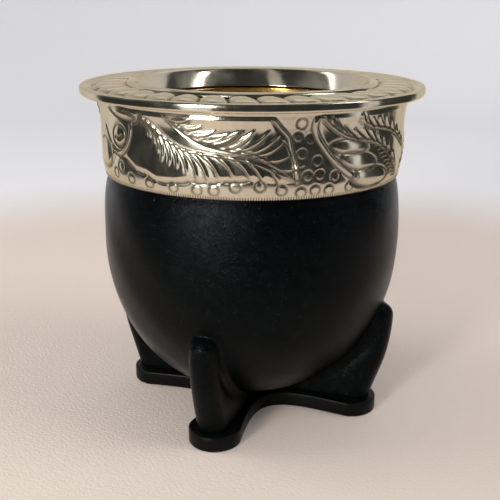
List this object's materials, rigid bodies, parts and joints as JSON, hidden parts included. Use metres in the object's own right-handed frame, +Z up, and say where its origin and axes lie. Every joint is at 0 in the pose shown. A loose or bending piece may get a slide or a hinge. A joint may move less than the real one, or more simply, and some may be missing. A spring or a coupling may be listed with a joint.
{
  "type": "mate gourd",
  "caption": "Round leather-covered drinking gourd on a lobed sole, with a chased metal ferrule, a gadrooned rim and a funnel mouth.",
  "frame": {"origin": "on the table, under the centre of the sole", "axes": "+Z up along the axis of the cup, -Y through the front leg, +X through the right leg"},
  "size_m": [0.09, 0.09, 0.0912],
  "materials": {
    "sole_leather": "black sole leather, burnished edge",
    "black_leather": "black cowhide, fine grain, semi-matt",
    "leg_wood": "raw softwood",
    "dried_gourd": "dried calabash rind, matt",
    "waxed_thread": "black waxed thread",
    "resin": "cast bedding, matt",
    "brass": "polished brass",
    "nickel_silver": "polished nickel silver, chased by hand"
  },
  "bodies": {
    "root": {"sole": "sole_leather", "leather_cover": "black_leather", "leg_core_front": "leg_wood", "leg_core_right": "leg_wood", "leg_core_back": "leg_wood", "leg_core_left": "leg_wood", "gourd_shell": "dried_gourd", "seam_thread": "waxed_thread", "bedding_ring": "resin", "throat_tube": "brass", "mouth_funnel": "nickel_silver", "rim_flange": "nickel_silver", "ferrule_band": "nickel_silver"}
  },
  "joints": []
}
